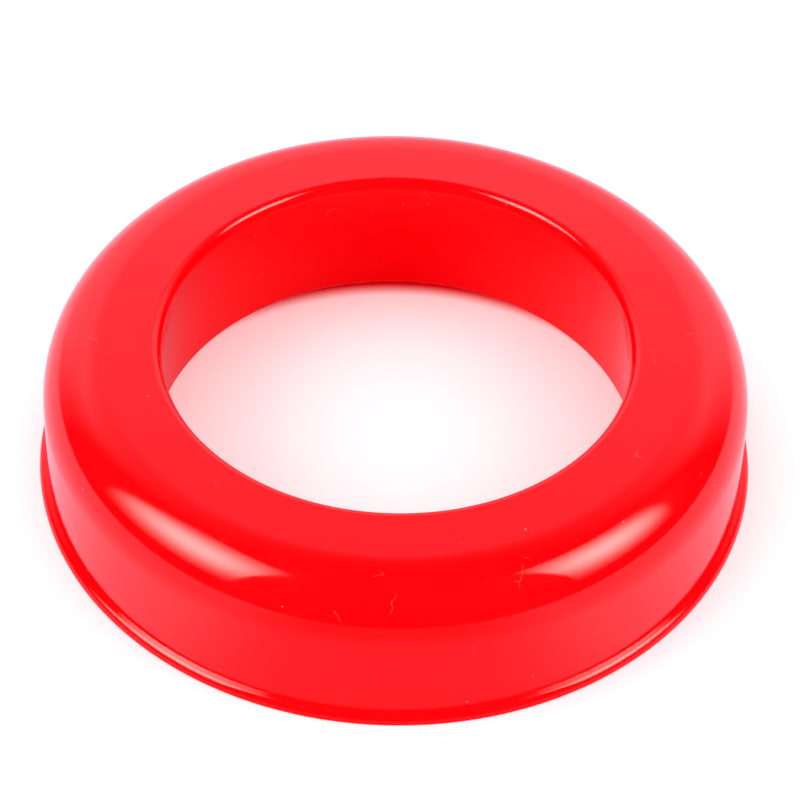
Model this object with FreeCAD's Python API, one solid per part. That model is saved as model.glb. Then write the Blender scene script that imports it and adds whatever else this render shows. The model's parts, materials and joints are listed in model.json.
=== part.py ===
"""Flanged machine ring: one hollow, open-bottomed plastic moulding of revolution.

Frame: millimetres, +Z up. The origin is the centre of the foot plane, and +Z is the ring's axis.
The ring stands on its foot flange. Its section is an upside-down channel: a plain skirt outside, a
flat annular top, and a tapered bore wall inside that reaches down to the foot plane.
"""
import FreeCAD, Part
import math
import os

# ---------------------------------------------------------------- driving dimensions
# Overall
flange_diameter = 100.0      # outside of the foot flange
overall_height = 21.3        # foot plane to top face
wall = 1.6                   # top face and skirt

# Foot flange
flange_projection = 1.13     # how far the flange stands out past the foot of the skirt
flange_rim_height = 1.0      # its outer edge, up to where the rim and the slope would meet
flange_top_slope = 27.2      # degrees, falling outwards from the skirt to the rim
flange_top_round = 1.25      # between the slope and the rim
flange_foot_round = 0.2      # lower outer edge

# Skirt and shoulder
skirt_draft = 2.35           # degrees, leaning inwards going up
shoulder_round = 8.5         # outside radius between the skirt and the top face
skirt_foot_round = 0.3       # inside edge of the skirt at the foot plane

# Bore
bore_diameter = 64.0         # narrowest, on the land under the mouth
bore_mouth_round = 1.15      # between the top face and the mouth's side
bore_mouth_draft = 25.0      # degrees, the mouth's side leaning inwards going down to the land
bore_mouth_depth = 1.26      # top face to the land
land_height = 0.4            # straight land at the mould's parting line
bore_foot_diameter = 68.2    # the bore widens evenly from the land to this
bore_wall_foot = 1.4         # thickness of the bore wall at its foot
bore_wall_foot_round = 0.4   # both edges of the bore wall's foot

# Channel between the skirt and the bore wall
channel_draft = 0.5          # degrees, on the bore wall's hidden face
channel_corner_round = 0.8   # inner corner between the bore wall and the top


# ---------------------------------------------------------------- heights and radii worked out from them
flange_radius = flange_diameter / 2
bore_radius = bore_diameter / 2
bore_foot_radius = bore_foot_diameter / 2
ceiling_height = overall_height - wall
land_top_height = overall_height - bore_mouth_depth
mouth_radius = bore_radius + bore_mouth_depth * math.tan(math.radians(bore_mouth_draft))
skirt_foot_height = flange_rim_height + flange_projection * math.tan(math.radians(flange_top_slope))


def skirt_radius(height):
    """Outside radius of the drafted skirt at a height."""
    rise = height - skirt_foot_height
    return flange_radius - flange_projection - rise * math.tan(math.radians(skirt_draft))


def skirt_inner_radius(height):
    """Inside radius of the skirt at a height, one wall in from its outside face."""
    return skirt_radius(height) - wall / math.cos(math.radians(skirt_draft))


def bore_wall_back_radius(height):
    """Radius of the bore wall's hidden face, which widens upwards so that the channel's core draws down."""
    return bore_foot_radius + bore_wall_foot + height * math.tan(math.radians(channel_draft))


# ---------------------------------------------------------------- section
def ring_section():
    """Corners of the ring's section, anticlockwise, each as (radius, height, rounding)."""
    shoulder_inside_round = max(shoulder_round - wall, channel_corner_round)
    return [
        (flange_radius, 0.0, flange_foot_round),
        (flange_radius, flange_rim_height, flange_top_round),
        (skirt_radius(skirt_foot_height), skirt_foot_height, 0.0),
        (skirt_radius(overall_height), overall_height, shoulder_round),
        (mouth_radius, overall_height, bore_mouth_round),
        (bore_radius, land_top_height, 0.0),
        (bore_radius, land_top_height - land_height, 0.0),
        (bore_foot_radius, 0.0, bore_wall_foot_round),
        (bore_foot_radius + bore_wall_foot, 0.0, bore_wall_foot_round),
        (bore_wall_back_radius(ceiling_height), ceiling_height, channel_corner_round),
        (skirt_inner_radius(ceiling_height), ceiling_height, shoulder_inside_round),
        (skirt_inner_radius(0.0), 0.0, skirt_foot_round),
    ]


def rounded_wire(corners):
    """Closed wire in the XZ plane through the corners, each rounded by an arc tangent to its two sides.

    Where two roundings need more than the side between them, both shrink to share it.
    """
    points = [FreeCAD.Vector(radius, 0, height) for radius, height, _ in corners]
    count = len(points)
    to_last = [(points[i - 1] - points[i]).normalize() for i in range(count)]
    to_next = [(points[(i + 1) % count] - points[i]).normalize() for i in range(count)]
    half_angle = [to_last[i].getAngle(to_next[i]) / 2 for i in range(count)]
    setback = [corners[i][2] / math.tan(half_angle[i]) for i in range(count)]

    def share(first, second):
        """How much of their setbacks two neighbouring corners may keep."""
        needed = setback[first] + setback[second]
        length = points[first].distanceToPoint(points[second])
        return min(1.0, length / needed) if needed > 0 else 1.0

    kept = [setback[i] * min(share(i - 1, i), share(i, (i + 1) % count)) for i in range(count)]

    edges = []
    for i in range(count):
        start = points[i] + to_last[i] * kept[i]
        end = points[i] + to_next[i] * kept[i]
        if kept[i] > 0:
            radius = kept[i] * math.tan(half_angle[i])
            inwards = (to_last[i] + to_next[i]).normalize()
            middle = points[i] + inwards * (radius / math.sin(half_angle[i]) - radius)
            edges.append(Part.Arc(start, middle, end).toShape())
        following = (i + 1) % count
        next_start = points[following] + to_last[following] * kept[following]
        if end.distanceToPoint(next_start) > Part.Precision.confusion():
            edges.append(Part.LineSegment(end, next_start).toShape())
    return Part.Wire(edges)


# ---------------------------------------------------------------- parts
def flanged_ring():
    """The whole moulding: its section turned once round the axis."""
    face = Part.Face(rounded_wire(ring_section()))
    return face.revolve(FreeCAD.Vector(0, 0, 0), FreeCAD.Vector(0, 0, 1), 360)


def main():
    os.makedirs("parts", exist_ok=True)
    for node, shape in {"flanged_ring": flanged_ring()}.items():
        if not shape.isValid() or len(shape.Solids) != 1:
            raise ValueError(node + " isn't one valid solid")
        shape.exportStep("parts/" + node + ".step")
        print(node, "volume", round(shape.Volume, 1), "mm3, surface", round(shape.Area, 1), "mm2")


main()
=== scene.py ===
"""Flanged machine ring: the looks of one glossy red moulding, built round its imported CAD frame.

Lengths are in metres and the frame is the CAD's: the origin is the centre of the foot plane, +Z up.
"""
import json
import math

import bpy
import numpy as np
from mathutils import Matrix, Vector


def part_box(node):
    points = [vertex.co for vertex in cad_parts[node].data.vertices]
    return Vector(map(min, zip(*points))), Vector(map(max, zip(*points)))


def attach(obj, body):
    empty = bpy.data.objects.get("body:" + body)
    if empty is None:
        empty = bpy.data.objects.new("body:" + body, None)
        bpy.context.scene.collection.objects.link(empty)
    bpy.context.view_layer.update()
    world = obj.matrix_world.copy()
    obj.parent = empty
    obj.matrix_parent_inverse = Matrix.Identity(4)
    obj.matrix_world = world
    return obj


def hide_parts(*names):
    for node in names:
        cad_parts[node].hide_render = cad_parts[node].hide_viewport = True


bl_info = {
    "name": "Flanged Machine Ring",
    "version": (1, 0, 0),
    "blender": (4, 5, 0),
    "location": "3D View > Sidebar > Machine Ring",
    "description": "Builds a glossy moulded ring with a foot flange, and a plain studio round it",
    "category": "Object",
}

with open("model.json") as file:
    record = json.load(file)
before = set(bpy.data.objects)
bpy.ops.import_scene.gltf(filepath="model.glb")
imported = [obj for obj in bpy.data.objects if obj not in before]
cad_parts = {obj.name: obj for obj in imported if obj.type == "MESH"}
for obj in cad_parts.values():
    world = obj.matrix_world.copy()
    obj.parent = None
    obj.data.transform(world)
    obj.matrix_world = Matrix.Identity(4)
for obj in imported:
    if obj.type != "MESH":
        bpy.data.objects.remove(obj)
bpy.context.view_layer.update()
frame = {"record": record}
RING_LOW, RING_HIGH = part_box("flanged_ring")
BORE_LAND = next(m for m in frame["record"]["mounts"] if m["name"] == "bore_land")["dims"]

MM = 0.001

# The moulding's surface
WAVE_LENGTH = 4.0 * MM              # slight waves that a polished mould leaves
MARK_SIZE = 9.0 * MM                # patches dulled by handling
MARK_START, MARK_FULL = 0.4, 0.7    # noise levels where a patch starts and where it is full
MARK_SPREAD = 1.4                   # how much a full patch raises the roughness
NO_SPECK, FULL_SPECK = 0.62, 0.8    # cell levels: under the first no speck, over the second the largest
LINT_CELL = 6.0 * MM                # threads of lint follow the edges of a web with cells of this size
LINT_BEND = 4.0 * MM                # how far that web is bent
LINT_PATCH = 3.0 * MM               # lumps of the noise that bends it and chooses where a thread shows
LINT_LEVEL = 0.76                   # the level of that noise above which a thread shows

# The studio. A direction is (azimuth, elevation) in degrees, and a distance is in flange radii.
FLOOR_BLUE = 1.02                   # slightly cool white of the floor for the camera
# Painted shade on the floor, seen only in the gloss, from here to MIDDLE_FADE: its tint, and where it is
# darker or paler
PAINTED_GLOSS_TINT = (1.0, 1.0, 1.2)        # cooler still in the gloss
FRONT_FADE = (50 * MM, 100 * MM)    # from the axis, where the floor in front starts to darken and ends
SIDE_TURN = (-0.97, -0.77)          # y of the way from the axis, where the front gives way to the side
INSIDE_BEND = 1.5                   # power of the rise to the bore's sides
INSIDE_LEAN = 0.2                   # how much paler its right side is, and how much darker its left
MIDDLE_FADE = (12 * MM, 26 * MM)    # from the axis, where the bore's paler middle starts to fade and ends
BAND_MIDDLE = (0.58, 0.445)         # brightest point of a soft box, on its UV map
BAND_REACH = (0.6, 0.31)            # how far its light reaches along and across
BAND_FALL = 1.15                    # how steeply it falls along
BACKDROP_SIDE = (0.35, 0.8)         # y of the level direction where the backdrop starts and is full
BACKDROP_TOP = (0.6, 1.0)           # height (z of the direction) where it starts to fade and is gone
BACKDROP_FADE = 2.1                 # power of that fade
STUDIO_REACH = 20.0                 # soft boxes and lamps, from the origin
SOFT_BOX_LEFT = [(-102, 61), (-45, 63.5), (-46.5, 20), (-93, 12.5)]
SOFT_BOX_RIGHT = [(102.5, 50.5), (54.5, 62.5), (53, 18), (88, 14)]
LAMP_LEFT, LAMP_RIGHT = (-75, 41), (78, 41)
LAMP_SIZE = (0.75, 0.6)             # metres
FLOOR_REACH = 100.0                 # half of the floor's side
CAMERA_ELEVATION = 46.006           # degrees
CAMERA_DISTANCE = 6.7959
CAMERA_AIM = (0.00184, 0.01812)     # how far it looks right of and above the origin, as tangents
CAMERA_ROLL = 0.02261               # radians
CAMERA_LENS = 107.656               # millimetres, on a 36 mm sensor


# ------------------------------------------------------------------ sizes and colours a user would change
def length(name, description, default, **more):
    """A length in metres for a property group."""
    return bpy.props.FloatProperty(name=name, description=description, default=default,
                                   min=0.0, precision=5, unit="LENGTH", **more)


def angle(name, description, degrees):
    """An angle for a property group, given in degrees."""
    return bpy.props.FloatProperty(name=name, description=description,
                                   default=math.radians(degrees), subtype="ANGLE")


def amount(name, description, default, **more):
    """A plain number for a property group."""
    return bpy.props.FloatProperty(name=name, description=description, default=default, **more)


def linear(hex_colour):
    """Linear red, green and blue of an sRGB hex colour."""
    levels = [int(hex_colour[i:i + 2], 16) / 255 for i in (1, 3, 5)]
    return tuple(v / 12.92 if v <= 0.04045 else ((v + 0.055) / 1.055) ** 2.4 for v in levels)


def colour(name, description, hex_colour):
    """A colour for a property group, given as an sRGB hex value."""
    return bpy.props.FloatVectorProperty(name=name, description=description, size=3, subtype="COLOR",
                                         min=0.0, max=1.0, default=linear(hex_colour))


class RingSizes(bpy.types.PropertyGroup):
    """Sizes of the moulding's section."""
    flange_diameter: length("Flange Diameter", "Outside of the foot flange", RING_HIGH.x - RING_LOW.x)
    overall_height: length("Overall Height", "Foot plane to top face", RING_HIGH.z - RING_LOW.z)
    wall: length("Wall", "Thickness of the top and the skirt", 1.6 * MM)
    flange_projection: length("Flange Projection", "How far the flange stands out past the skirt", 1.13 * MM)
    flange_rim_height: length("Flange Rim Height", "Flange's outer edge, before its rounding", 1.0 * MM)
    flange_top_slope: angle("Flange Top Slope", "Fall of the flange's upper side towards its rim", 27.2)
    flange_top_round: length("Flange Top Round", "Rounding between the slope and the rim", 1.25 * MM)
    flange_foot_round: length("Flange Foot Round", "Rounding of the lower outer edge", 0.2 * MM)
    skirt_draft: angle("Skirt Draft", "How far the skirt leans inwards going up", 2.35)
    shoulder_round: length("Shoulder Round", "Outside radius between the skirt and the top", 8.5 * MM)
    skirt_foot_round: length("Skirt Foot Round", "Inside edge of the skirt at the foot plane", 0.3 * MM)
    bore_diameter: length("Bore Diameter", "Narrowest part of the bore, on its land",
                          2 * BORE_LAND["r_mm"] * MM)
    bore_mouth_round: length("Bore Mouth Round", "Rounding between the top and the mouth's side", 1.15 * MM)
    bore_mouth_draft: angle("Bore Mouth Draft", "How far the mouth's side leans inwards going down", 25.0)
    bore_mouth_depth: length("Bore Mouth Depth", "Top face to the land", 1.26 * MM)
    land_height: length("Land Height", "Straight land at the mould's parting line", 0.4 * MM)
    bore_foot_diameter: length("Bore Foot Diameter", "The bore widens from the land to this", 68.2 * MM)
    bore_wall_foot: length("Bore Wall Foot", "Thickness of the bore wall at its foot", 1.4 * MM)
    bore_wall_foot_round: length("Bore Wall Foot Round", "Both edges of the bore wall's foot", 0.4 * MM)
    channel_draft: angle("Channel Draft", "Draft of the bore wall's hidden face", 0.5)
    channel_corner_round: length("Channel Corner Round", "Corner between the bore wall and the top", 0.8 * MM)


class RingFinish(bpy.types.PropertyGroup):
    """Colours and surface of the moulding."""
    plastic_colour: colour("Plastic", "Self-colour of the moulded plastic", "#FC020A")
    dust_colour: colour("Dust", "Specks and lint lying on the gloss", "#FFB9B4")
    refraction: amount("Index of Refraction", "Strength of the gloss", 1.4, min=1.0, max=2.0)
    roughness: amount("Roughness", "Spread of the gloss on a clean face", 0.06, min=0.0, max=1.0)
    peel_height: length("Surface Waviness", "Height of the slight waves a mould leaves", 0.002 * MM)
    speck_spacing: length("Speck Spacing", "Size of the cells that may each hold one speck", 2.5 * MM)
    speck_radius: length("Speck Radius", "Largest speck", 0.15 * MM)
    lint_width: length("Lint Width", "Thickness of a thread of lint", 0.1 * MM)
    lint_cover: amount("Lint Cover", "How much a thread hides, as a part of what a speck does", 0.25,
                       min=0.0, max=1.0)
    dust_cover: amount("Dust Cover", "How much of the red a speck hides", 0.34, min=0.0, max=1.0)


class StageLook(bpy.types.PropertyGroup):
    """Floor with its painted shade, lamps and backdrop."""
    floor_colour: colour("Floor", "Plain pale floor", "#F8F8F8")
    floor_gain: amount("Floor Gain", "Floor's whiteness for the camera alone", 1.06, min=0.0)
    # Painted red shade on the table at the bore wall's foot, for the camera alone: a painted shadow, tinted
    # red as if by the wall's bounce light
    painted_shade_offset: length("Red Cast Offset", "How far in front of the axis the red cast is centred",
                            9.4 * MM)
    painted_shade_start: length("Red Cast Start", "Radius where the floor starts to turn red", 40.1 * MM)
    painted_shade_end: length("Red Cast End", "Radius where the floor is as red as the plastic", 43.2 * MM)
    painted_shade_colour: colour("Red Cast Colour", "Red of the floor at the cast's end", "#FF0018")
    painted_shade_gain: amount("Red Cast Gain", "Brightness of that red for the camera alone", 0.78, min=0.0)
    # Painted shade on the table, seen only in the gloss
    painted_gloss_front: amount("Gloss Front", "Floor's paleness in the gloss, in front", 0.3, min=0.0)
    painted_gloss_side: amount("Gloss Side", "What the sides and the back add to that", 0.325, min=0.0)
    painted_gloss_climb: amount("Gloss Climb", "What they add more slowly, towards the back", 0.2, min=0.0)
    painted_gloss_inside: amount("Gloss Inside", "Floor's paleness in the gloss, by the bore's sides", 0.6, min=0.0)
    painted_gloss_middle: amount("Gloss Middle", "Floor's paleness in the gloss, in the bore's middle", 0.15, min=0.0)
    ambient: amount("Ambient", "Even light from all round", 1.0, min=0.0)
    backdrop: amount("Backdrop", "Brightness of the backdrop's foot in the gloss", 1.02, min=0.0)
    backdrop_rise: amount("Backdrop Rise", "How much brighter the backdrop gets upwards", 0.78, min=0.0)
    backdrop_colour: colour("Backdrop Colour", "Slightly cool white of the backdrop", "#E6E6FC")
    soft_box: amount("Soft Box", "Brightness of each soft box's middle in the gloss", 16.4, min=0.0)
    soft_box_colour: colour("Soft Box Colour", "Slightly warm white of the lamps' fabric", "#FFFCF5")
    lamp_left: amount("Left Lamp", "Watts", 3.05, min=0.0)
    lamp_right: amount("Right Lamp", "Watts", 2.0, min=0.0)


# ------------------------------------------------------------------ surfaces worked out with numpy
def rounded_section(corners, turn=math.radians(4.0), span=2.0 * MM):
    """Closed section line through corners of (radius, height, rounding), as spans with their normals.

    Each corner is replaced by an arc tangent to its two sides: the arc starts and ends at
    rounding / tan(half the corner's angle) from the corner, and where two arcs need more than the side
    between them both shrink to share it. Arcs are cut every turn, straight sides every span. Gives the
    points (n, 2), and the outward normals at the start and at the end of each span (n, 2) each.
    """
    at = np.array([c[:2] for c in corners])
    rounding = np.array([c[2] for c in corners])
    to_next = np.roll(at, -1, axis=0) - at
    side = np.linalg.norm(to_next, axis=1)
    ahead = to_next / side[:, None]
    back = -np.roll(ahead, 1, axis=0)
    half = np.arccos(np.clip((ahead * back).sum(1), -1, 1)) / 2
    setback = rounding / np.tan(half)
    share = np.minimum(1.0, side / np.maximum(setback + np.roll(setback, -1), 1e-12))
    setback = setback * np.minimum(share, np.roll(share, 1))
    radius = setback * np.tan(half)
    bend = -back[:, 0] * ahead[:, 1] + back[:, 1] * ahead[:, 0]       # above 0 where the section is convex

    def outward(direction):
        return np.stack([direction[..., 1], -direction[..., 0]], -1)

    points, first, last = [], [], []
    for i in range(len(corners)):
        start = at[i] + back[i] * setback[i]
        end = at[i] + ahead[i] * setback[i]
        sense = 1.0 if bend[i] > 0 else -1.0
        if setback[i] > 0:
            centre = start - outward(-back[i]) * radius[i] * sense
            sweep = math.pi - 2 * half[i]
            steps = max(2, math.ceil(sweep / turn))
            t = np.linspace(0.0, sweep, steps + 1) * sense
            n0 = outward(-back[i])
            n = np.stack([n0[0] * np.cos(t) - n0[1] * np.sin(t), n0[0] * np.sin(t) + n0[1] * np.cos(t)], -1)
            points.append(centre + n[:-1] * radius[i] * sense)
            first.append(n[:-1])
            last.append(n[1:])
        j = (i + 1) % len(corners)
        stop = at[j] + back[j] * setback[j]
        run = np.linalg.norm(stop - end)
        if run > 1e-9:
            pieces = max(1, math.ceil(run / span))
            t = np.linspace(0.0, 1.0, pieces + 1)[:-1, None]
            points.append(end + (stop - end) * t)
            n = np.repeat(outward(ahead[i])[None], pieces, axis=0)
            first.append(n)
            last.append(n)
    return np.concatenate(points), np.concatenate(first), np.concatenate(last)


def revolved(name, section, first, last, segments=360):
    """Closed surface of revolution: (radius, height) turned through 360 degrees round Z.

    A point is (radius cos a, radius sin a, height), a = 2 pi j / segments; each face's corners carry the
    section's own normals turned by the same angle, so arcs shade as true arcs and sharp corners stay sharp.
    """
    count = len(section)
    a = np.arange(segments) * (2 * np.pi / segments)
    spin = np.stack([np.cos(a), np.sin(a)], -1)
    verts = np.empty((segments, count, 3))
    verts[..., :2] = spin[:, None] * section[None, :, :1]
    verts[..., 2] = section[None, :, 1]
    i, j = np.meshgrid(np.arange(count), np.arange(segments))
    i2, j2 = (i + 1) % count, (j + 1) % segments
    faces = np.stack([j * count + i, j2 * count + i, j2 * count + i2, j * count + i2], -1).reshape(-1, 4)
    mesh = bpy.data.meshes.new(name)
    mesh.from_pydata(verts.reshape(-1, 3).tolist(), [], faces.tolist())

    def turned(normals, angles):
        flat = normals[i.ravel()]
        return np.concatenate([spin[angles.ravel()] * flat[:, :1], flat[:, 1:]], -1)

    corners = np.stack([turned(first, j), turned(first, j2), turned(last, j2), turned(last, j)], 1)
    mesh.polygons.foreach_set("use_smooth", np.ones(len(faces), bool))
    mesh.normals_split_custom_set(corners.reshape(-1, 3).tolist())
    mesh.update()
    return placed(mesh)


def sheet(name, corners, cells=24):
    """Four-cornered panel: each point blends the corners bilinearly, and its UV map is the two blends."""
    u, v = np.meshgrid(np.linspace(0, 1, cells + 1), np.linspace(0, 1, cells + 1))
    weights = np.stack([(1 - u) * (1 - v), u * (1 - v), u * v, (1 - u) * v], -1)
    verts = (weights @ np.array(corners, float)).reshape(-1, 3)
    i, j = np.meshgrid(np.arange(cells), np.arange(cells))
    row = cells + 1
    here, above = j * row + i, (j + 1) * row + i
    faces = np.stack([here, here + 1, above + 1, above], -1).reshape(-1, 4)
    mesh = bpy.data.meshes.new(name)
    mesh.from_pydata(verts.tolist(), [], faces.tolist())
    uv = mesh.uv_layers.new(name="UVMap")
    uv.data.foreach_set("uv", np.stack([u.ravel(), v.ravel()], -1)[faces.ravel()].ravel())
    return placed(mesh)


def placed(mesh):
    """The mesh's object, linked to the scene."""
    thing = bpy.data.objects.new(mesh.name, mesh)
    bpy.context.scene.collection.objects.link(thing)
    return thing


# ------------------------------------------------------------------ materials
def add_node(tree, kind, *inputs, **settings):
    """One node. Inputs fill its sockets in order, where None leaves one alone, and settings fill a value or
    a socket by name; a value that is itself a socket is linked and any other is set."""
    node = tree.nodes.new(kind)
    for name in [name for name in settings if hasattr(node, name)]:
        setattr(node, name, settings.pop(name))
    for key, value in [*enumerate(inputs), *((name.replace("_", " "), v) for name, v in settings.items())]:
        if isinstance(value, bpy.types.NodeSocket):
            tree.links.new(value, node.inputs[key])
        elif value is not None:
            node.inputs[key].default_value = value
    return node


def blank_material(name):
    """A material with an empty node tree and its output."""
    material = bpy.data.materials.new(name)
    material.use_nodes = True
    tree = material.node_tree
    tree.nodes.clear()
    return material, tree, tree.nodes.new("ShaderNodeOutputMaterial")


def gloss_plastic(finish):
    """Injection-moulded ABS, self-coloured red, from a polished mould.

    To the eye: one deep even red, a sharp clear gloss with hardly any spread, faint handling marks that
    dull it in places, pale dust specks up to 0.3 mm across, and a few curled threads of lint. Solid ABS has
    an index near 1.54, and a lower one is used because the gloss is weaker here. Real lint is some 0.02 mm
    thick, which is too fine to show, so it is drawn thicker and fainter.
    """
    material, tree, out = blank_material("gloss_moulded_abs_red")
    where = add_node(tree, "ShaderNodeTexCoord").outputs["Object"]
    peel = add_node(tree, "ShaderNodeTexNoise", where, Scale=1 / WAVE_LENGTH, Detail=1.0)
    bump = add_node(tree, "ShaderNodeBump", Height=peel.outputs["Fac"], Distance=finish.peel_height)
    marks = add_node(tree, "ShaderNodeTexNoise", where, Scale=1 / MARK_SIZE, Detail=4.0)
    spread = add_node(tree, "ShaderNodeMapRange", marks.outputs["Fac"], MARK_START, MARK_FULL,
                      finish.roughness, MARK_SPREAD * finish.roughness)
    body = add_node(tree, "ShaderNodeBsdfPrincipled", Base_Color=(*finish.plastic_colour, 1.0),
                    Roughness=spread.outputs[0], IOR=finish.refraction, Normal=bump.outputs["Normal"])
    specks = add_node(tree, "ShaderNodeTexVoronoi", where, Scale=1 / finish.speck_spacing)
    size = add_node(tree, "ShaderNodeMapRange", specks.outputs["Color"], NO_SPECK, FULL_SPECK, 0.0,
                    finish.speck_radius / finish.speck_spacing)
    speck = add_node(tree, "ShaderNodeMath", specks.outputs["Distance"], size.outputs[0],
                     operation="LESS_THAN")
    curl = add_node(tree, "ShaderNodeTexNoise", where, Scale=1 / LINT_PATCH)
    bent = add_node(tree, "ShaderNodeVectorMath", curl.outputs["Color"], (LINT_BEND,) * 3, where,
                    operation="MULTIPLY_ADD")
    web = add_node(tree, "ShaderNodeTexVoronoi", bent.outputs[0], Scale=1 / LINT_CELL,
                   feature="DISTANCE_TO_EDGE")
    thread = add_node(tree, "ShaderNodeMath", web.outputs["Distance"], finish.lint_width / (2 * LINT_CELL),
                      operation="LESS_THAN")
    patch = add_node(tree, "ShaderNodeTexNoise", where, Scale=1 / LINT_PATCH, Detail=0.0)
    here = add_node(tree, "ShaderNodeMath", patch.outputs["Fac"], LINT_LEVEL, operation="GREATER_THAN")
    lint = add_node(tree, "ShaderNodeMath", thread.outputs[0], here.outputs[0], operation="MULTIPLY")
    dirt = add_node(tree, "ShaderNodeMath", lint.outputs[0], finish.lint_cover, speck.outputs[0],
                    operation="MULTIPLY_ADD")
    cover = add_node(tree, "ShaderNodeMath", dirt.outputs[0], finish.dust_cover, operation="MULTIPLY")
    dust = add_node(tree, "ShaderNodeBsdfDiffuse", (*finish.dust_colour, 1.0))
    final = add_node(tree, "ShaderNodeMixShader", cover.outputs[0], body.outputs["BSDF"], dust.outputs[0])
    tree.links.new(final.outputs[0], out.inputs["Surface"])
    return material


def floor_with_painted_shade(look, bore):
    """Matt white table top: an even pale diffuse, which the camera sees lifted to a clean white.

    The camera also sees painted shade on the table at the bore wall's foot: a painted shadow, tinted red as
    if by the wall's bounce light. It starts at the painted shade's start radius and is full at its end
    radius, measured from a point its offset in front of the axis, so it only shows along the back.

    The gloss sees the same table with painted shade on top of its lighting, where (x, y) is the unit vector
    from the ring's axis to the spot. Outside the ring the painted shade is front, which halves over
    FRONT_FADE, plus side as y goes through SIDE_TURN, plus climb * (1 + y). Inside the bore it is
    inside * |x|^bend * (1 + lean * x), plus middle, which goes over MIDDLE_FADE.
    """
    material, tree, out = blank_material("matt_white_table_painted_shade")
    path = add_node(tree, "ShaderNodeLightPath")
    where = add_node(tree, "ShaderNodeTexCoord").outputs["Object"]
    off = add_node(tree, "ShaderNodeVectorMath", where, operation="LENGTH")
    facing = add_node(tree, "ShaderNodeVectorMath", where, operation="NORMALIZE")
    way = add_node(tree, "ShaderNodeSeparateXYZ", facing.outputs[0])
    # Painted shade on the table, seen only in the gloss: darker in front, paler to the sides and the back,
    # and inside the bore paler to its sides, its right and its middle
    front = add_node(tree, "ShaderNodeMapRange", off.outputs["Value"], *FRONT_FADE, look.painted_gloss_front,
                     look.painted_gloss_front / 2)
    side = add_node(tree, "ShaderNodeMapRange", way.outputs["Y"], *SIDE_TURN, 0.0, look.painted_gloss_side,
                    interpolation_type="SMOOTHSTEP")
    climb = add_node(tree, "ShaderNodeMath", way.outputs["Y"], look.painted_gloss_climb, look.painted_gloss_climb,
                     operation="MULTIPLY_ADD")
    nearby = add_node(tree, "ShaderNodeMath", front.outputs[0], side.outputs[0], operation="ADD")
    outside = add_node(tree, "ShaderNodeMath", nearby.outputs[0], climb.outputs[0], operation="ADD")
    across = add_node(tree, "ShaderNodeMath", way.outputs["X"], operation="ABSOLUTE")
    bend = add_node(tree, "ShaderNodeMath", across.outputs[0], INSIDE_BEND, operation="POWER")
    lean = add_node(tree, "ShaderNodeMath", way.outputs["X"], INSIDE_LEAN * look.painted_gloss_inside,
                    look.painted_gloss_inside, operation="MULTIPLY_ADD")
    middle = add_node(tree, "ShaderNodeMapRange", off.outputs["Value"], *MIDDLE_FADE, look.painted_gloss_middle, 0.0,
                      interpolation_type="SMOOTHSTEP")
    inside = add_node(tree, "ShaderNodeMath", bend.outputs[0], lean.outputs[0], middle.outputs[0],
                      operation="MULTIPLY_ADD")
    beyond = add_node(tree, "ShaderNodeMath", off.outputs["Value"], bore, operation="GREATER_THAN")
    shade = add_node(tree, "ShaderNodeMix", beyond.outputs[0], None, inside.outputs[0], outside.outputs[0])
    lit = add_node(tree, "ShaderNodeBsdfDiffuse", (*look.floor_colour, 1.0))
    cool = add_node(tree, "ShaderNodeVectorMath", shade.outputs[0], PAINTED_GLOSS_TINT, operation="MULTIPLY")
    gloss = add_node(tree, "ShaderNodeBsdfDiffuse", cool.outputs[0])
    # Painted red shade at the bore wall's foot, for the camera alone: a painted shadow tinted as if by the
    # wall's red bounce light, kept inside the bore
    behind = add_node(tree, "ShaderNodeVectorMath", where, (0.0, look.painted_shade_offset, 0.0),
                      operation="ADD")
    reach = add_node(tree, "ShaderNodeVectorMath", behind.outputs[0], operation="LENGTH")
    cast = add_node(tree, "ShaderNodeMapRange", reach.outputs["Value"], look.painted_shade_start,
                    look.painted_shade_end, interpolation_type="SMOOTHSTEP")
    within = add_node(tree, "ShaderNodeMath", off.outputs["Value"], bore + 1.0 * MM, operation="LESS_THAN")
    red = add_node(tree, "ShaderNodeMath", cast.outputs[0], within.outputs[0], operation="MULTIPLY")
    white = add_node(tree, "ShaderNodeBsdfDiffuse",
                     (look.floor_gain, look.floor_gain, FLOOR_BLUE * look.floor_gain, 1.0))
    painted_red_shade = add_node(tree, "ShaderNodeBsdfDiffuse",
                      (*(look.painted_shade_gain * level for level in look.painted_shade_colour), 1.0))
    seen = add_node(tree, "ShaderNodeMixShader", red.outputs[0], white.outputs[0], painted_red_shade.outputs[0])
    plain = add_node(tree, "ShaderNodeMixShader", path.outputs["Is Glossy Ray"], lit.outputs[0],
                     gloss.outputs[0])
    final = add_node(tree, "ShaderNodeMixShader", path.outputs["Is Camera Ray"], plain.outputs[0],
                     seen.outputs[0])
    tree.links.new(final.outputs[0], out.inputs["Surface"])
    return material


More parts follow.
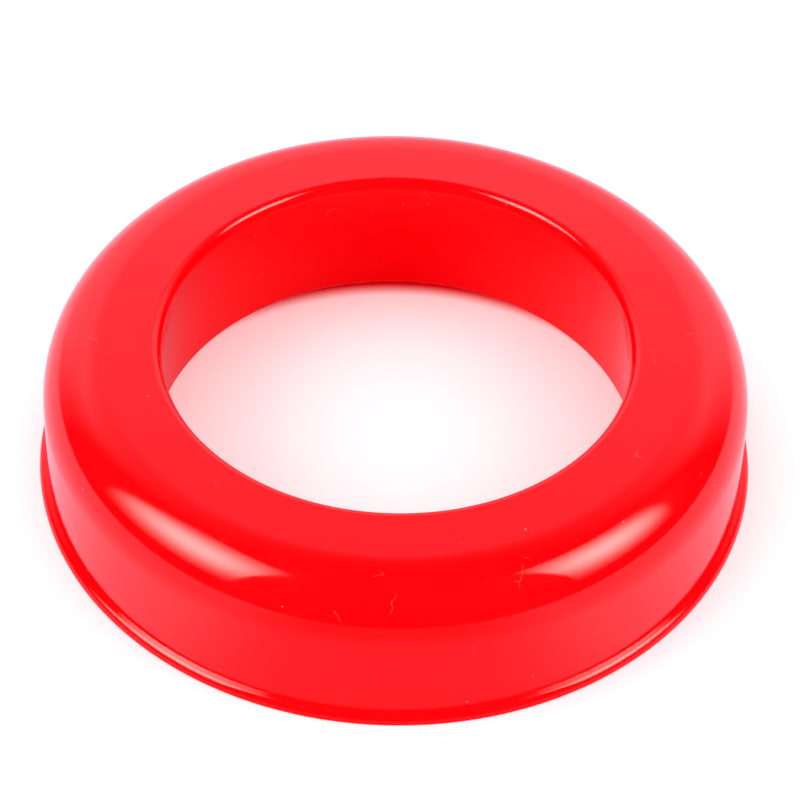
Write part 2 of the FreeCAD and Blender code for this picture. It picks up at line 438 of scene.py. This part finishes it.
def diffusion_fabric(look):
    """White diffusion fabric with a lamp behind it: brightest in a band across its middle.

    Brightness = middle * exp(-(v distance / v reach)^2) * (1 - fall * (u distance / u reach)^2), where the
    distances are from the band's middle on the UV map.
    """
    material, tree, out = blank_material("lit_diffusion_fabric")
    uv = add_node(tree, "ShaderNodeTexCoord").outputs["UV"]
    centred = add_node(tree, "ShaderNodeVectorMath", uv, (*BAND_MIDDLE, 0.0), operation="SUBTRACT")
    scaled = add_node(tree, "ShaderNodeVectorMath", centred.outputs[0], (*BAND_REACH, 1.0),
                      operation="DIVIDE")
    square = add_node(tree, "ShaderNodeVectorMath", scaled.outputs[0], scaled.outputs[0],
                      operation="MULTIPLY")
    part = add_node(tree, "ShaderNodeSeparateXYZ", square.outputs[0])
    fall = add_node(tree, "ShaderNodeMath", 0.0, part.outputs["Y"], operation="SUBTRACT")
    band = add_node(tree, "ShaderNodeMath", fall.outputs[0], operation="EXPONENT")
    across = add_node(tree, "ShaderNodeMath", part.outputs["X"], -BAND_FALL, 1.0, operation="MULTIPLY_ADD",
                      use_clamp=True)
    shape = add_node(tree, "ShaderNodeMath", band.outputs[0], across.outputs[0], operation="MULTIPLY")
    level = add_node(tree, "ShaderNodeMath", shape.outputs[0], look.soft_box, operation="MULTIPLY")
    glow = add_node(tree, "ShaderNodeEmission", (*look.soft_box_colour, 1.0), level.outputs[0])
    tree.links.new(glow.outputs[0], out.inputs["Surface"])
    return material


# ------------------------------------------------------------------ the moulding
def ring_corners(s):
    """Corners of the ring's section, anticlockwise, each as (radius, height, rounding)."""
    flange, height = s.flange_diameter / 2, s.overall_height
    bore, bore_foot = s.bore_diameter / 2, s.bore_foot_diameter / 2
    ceiling = height - s.wall
    skirt_foot = s.flange_rim_height + s.flange_projection * math.tan(s.flange_top_slope)
    land = height - s.bore_mouth_depth

    def skirt(z):
        return flange - s.flange_projection - (z - skirt_foot) * math.tan(s.skirt_draft)

    def skirt_inside(z):
        return skirt(z) - s.wall / math.cos(s.skirt_draft)

    back = bore_foot + s.bore_wall_foot
    return [
        (flange, 0.0, s.flange_foot_round),
        (flange, s.flange_rim_height, s.flange_top_round),
        (skirt(skirt_foot), skirt_foot, 0.0),
        (skirt(height), height, s.shoulder_round),
        (bore + s.bore_mouth_depth * math.tan(s.bore_mouth_draft), height, s.bore_mouth_round),
        (bore, land, 0.0),
        (bore, land - s.land_height, 0.0),
        (bore_foot, 0.0, s.bore_wall_foot_round),
        (back, 0.0, s.bore_wall_foot_round),
        (back + ceiling * math.tan(s.channel_draft), ceiling, s.channel_corner_round),
        (skirt_inside(ceiling), ceiling, max(s.shoulder_round - s.wall, s.channel_corner_round)),
        (skirt_inside(0.0), 0.0, s.skirt_foot_round),
    ]


class MACHINE_RING_OT_moulding(bpy.types.Operator):
    """Builds the whole red moulding from its section and gives it its gloss"""
    bl_idname = "machine_ring.moulding"
    bl_label = "Moulded Ring"

    def execute(self, context):
        sizes, finish = context.scene.ring_sizes, context.scene.ring_finish
        section, first, last = rounded_section(ring_corners(sizes))
        ring = revolved("moulded_ring", section, first, last)
        ring.data.materials.append(gloss_plastic(finish))
        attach(ring, "root")
        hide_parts("flanged_ring")
        return {"FINISHED"}


# ------------------------------------------------------------------ the studio
def direction(azimuth, elevation):
    """Unit vector: azimuth from the camera's side (-Y) towards +X, elevation up from the floor, both in
    degrees."""
    az, el = math.radians(azimuth), math.radians(elevation)
    return Vector((math.sin(az) * math.cos(el), -math.cos(az) * math.cos(el), math.sin(el)))


def soft_box_panel(name, corners, distance, material):
    """Soft box as a flat panel square to its middle's direction, its corners given as directions."""
    rays = [direction(*c) for c in corners]
    middle = sum(rays, Vector()).normalized()
    panel = sheet(name, [ray * (distance / ray.dot(middle)) for ray in rays])
    panel.data.materials.append(material)
    panel.visible_camera = False
    panel.visible_diffuse = False
    panel.visible_shadow = False
    return panel


def area_lamp(name, towards, distance, watts):
    """Plain rectangular lamp aimed at the origin, left out of the gloss."""
    data = bpy.data.lights.new(name, "AREA")
    data.shape, data.energy = "RECTANGLE", watts
    data.size, data.size_y = LAMP_SIZE
    lamp = bpy.data.objects.new(name, data)
    bpy.context.scene.collection.objects.link(lamp)
    place = direction(*towards) * distance
    lamp.matrix_world = Matrix.Translation(place) @ place.to_track_quat("Z", "Y").to_matrix().to_4x4()
    lamp.visible_glossy = False
    lamp.visible_camera = False
    return lamp


def studio_world(look):
    """White for the camera, an even ambient for diffuse light, and a curved backdrop behind in the gloss."""
    world = bpy.data.worlds.new("studio")
    bpy.context.scene.world = world
    world.use_nodes = True
    tree = world.node_tree
    tree.nodes.clear()
    path = add_node(tree, "ShaderNodeLightPath")
    ray = add_node(tree, "ShaderNodeTexCoord").outputs["Generated"]
    up = add_node(tree, "ShaderNodeSeparateXYZ", ray)
    level = add_node(tree, "ShaderNodeVectorMath", ray, (1.0, 1.0, 0.0), operation="MULTIPLY")
    flat = add_node(tree, "ShaderNodeVectorMath", level.outputs[0], operation="NORMALIZE")
    behind = add_node(tree, "ShaderNodeSeparateXYZ", flat.outputs[0])
    width = add_node(tree, "ShaderNodeMapRange", behind.outputs["Y"], *BACKDROP_SIDE,
                     interpolation_type="SMOOTHSTEP")
    top = add_node(tree, "ShaderNodeMapRange", up.outputs["Z"], *BACKDROP_TOP, 1.0, 0.0)
    fade = add_node(tree, "ShaderNodeMath", top.outputs[0], BACKDROP_FADE, operation="POWER")
    climb = add_node(tree, "ShaderNodeMath", up.outputs["Z"], look.backdrop_rise, look.backdrop,
                     operation="MULTIPLY_ADD")
    shape = add_node(tree, "ShaderNodeMath", width.outputs[0], fade.outputs[0], operation="MULTIPLY")
    rise = add_node(tree, "ShaderNodeMath", shape.outputs[0], climb.outputs[0], operation="MULTIPLY")
    gloss = add_node(tree, "ShaderNodeBackground", (*look.backdrop_colour, 1.0), rise.outputs[0])
    light = add_node(tree, "ShaderNodeBackground", (1, 1, 1, 1), look.ambient)
    white = add_node(tree, "ShaderNodeBackground", (1, 1, 1, 1), 1.0)
    lit = add_node(tree, "ShaderNodeMixShader", path.outputs["Is Glossy Ray"], light.outputs[0],
                   gloss.outputs[0])
    seen = add_node(tree, "ShaderNodeMixShader", path.outputs["Is Camera Ray"], lit.outputs[0],
                    white.outputs[0])
    out = tree.nodes.new("ShaderNodeOutputWorld")
    tree.links.new(seen.outputs[0], out.inputs["Surface"])


def studio_camera(reach):
    """Camera in front of the ring and above it, looking down at about 46 degrees from the floor."""
    elevation, distance = math.radians(CAMERA_ELEVATION), CAMERA_DISTANCE * reach
    ahead = Vector((0.0, math.cos(elevation), -math.sin(elevation)))
    right = Vector((1.0, 0.0, 0.0))
    up = right.cross(ahead)
    ahead = (ahead + right * CAMERA_AIM[0] + up * CAMERA_AIM[1]).normalized()
    right = ahead.cross(Vector((0, 0, 1))).normalized()
    up = right.cross(ahead)
    cos_roll, sin_roll = math.cos(CAMERA_ROLL), math.sin(CAMERA_ROLL)
    right, up = right * cos_roll + up * sin_roll, up * cos_roll - right * sin_roll
    data = bpy.data.cameras.new("studio_camera")
    data.sensor_width, data.lens = 36.0, CAMERA_LENS
    data.clip_start, data.clip_end = 0.01, 50.0
    camera = bpy.data.objects.new("studio_camera", data)
    bpy.context.scene.collection.objects.link(camera)
    turn = Matrix((right, up, -ahead)).transposed().to_4x4()
    place = Vector((0.0, -distance * math.cos(elevation), distance * math.sin(elevation)))
    camera.matrix_world = Matrix.Translation(place) @ turn
    bpy.context.scene.camera = camera


class MACHINE_RING_OT_stage(bpy.types.Operator):
    """Sets the floor, the soft boxes, the lamps, the world and the camera"""
    bl_idname = "machine_ring.stage"
    bl_label = "Studio Stage"

    def execute(self, context):
        look = context.scene.stage_look
        reach = context.scene.ring_sizes.flange_diameter / 2
        bore = context.scene.ring_sizes.bore_foot_diameter / 2
        far = FLOOR_REACH * reach
        away = STUDIO_REACH * reach
        floor = sheet("floor", [(-far, -far, 0), (far, -far, 0), (far, far, 0), (-far, far, 0)], cells=1)
        floor.data.materials.append(floor_with_painted_shade(look, bore))
        fabric = diffusion_fabric(look)
        soft_box_panel("soft_box_left", SOFT_BOX_LEFT, away, fabric)
        soft_box_panel("soft_box_right", SOFT_BOX_RIGHT, away, fabric)
        area_lamp("lamp_left", LAMP_LEFT, away, look.lamp_left)
        area_lamp("lamp_right", LAMP_RIGHT, away, look.lamp_right)
        studio_world(look)
        studio_camera(reach)
        context.scene.view_settings.view_transform = "Standard"
        return {"FINISHED"}


class MACHINE_RING_PT_panel(bpy.types.Panel):
    """Lists the ring's builders and sizes in the sidebar"""
    bl_label = "Machine Ring"
    bl_idname = "MACHINE_RING_PT_panel"
    bl_space_type = "VIEW_3D"
    bl_region_type = "UI"
    bl_category = "Machine Ring"

    def draw(self, context):
        layout = self.layout
        for operator in OPERATORS:
            layout.operator(operator.bl_idname)
        for group in (context.scene.ring_sizes, context.scene.ring_finish, context.scene.stage_look):
            box = layout.box()
            for name in group.__annotations__:
                box.prop(group, name)


GROUPS = {"ring_sizes": RingSizes, "ring_finish": RingFinish, "stage_look": StageLook}
OPERATORS = (MACHINE_RING_OT_moulding, MACHINE_RING_OT_stage)


def register():
    """Registers the classes and hangs the property groups on the scene."""
    for cls in (*GROUPS.values(), *OPERATORS, MACHINE_RING_PT_panel):
        bpy.utils.register_class(cls)
    for name, group in GROUPS.items():
        setattr(bpy.types.Scene, name, bpy.props.PointerProperty(type=group))


def unregister():
    """Takes the property groups and the classes away again."""
    for name in GROUPS:
        delattr(bpy.types.Scene, name)
    for cls in reversed((*GROUPS.values(), *OPERATORS, MACHINE_RING_PT_panel)):
        bpy.utils.unregister_class(cls)


def main():
    """Builds every piece and the stage."""
    register()
    bpy.ops.machine_ring.moulding()
    bpy.ops.machine_ring.stage()


if __name__ == "__main__":
    main()
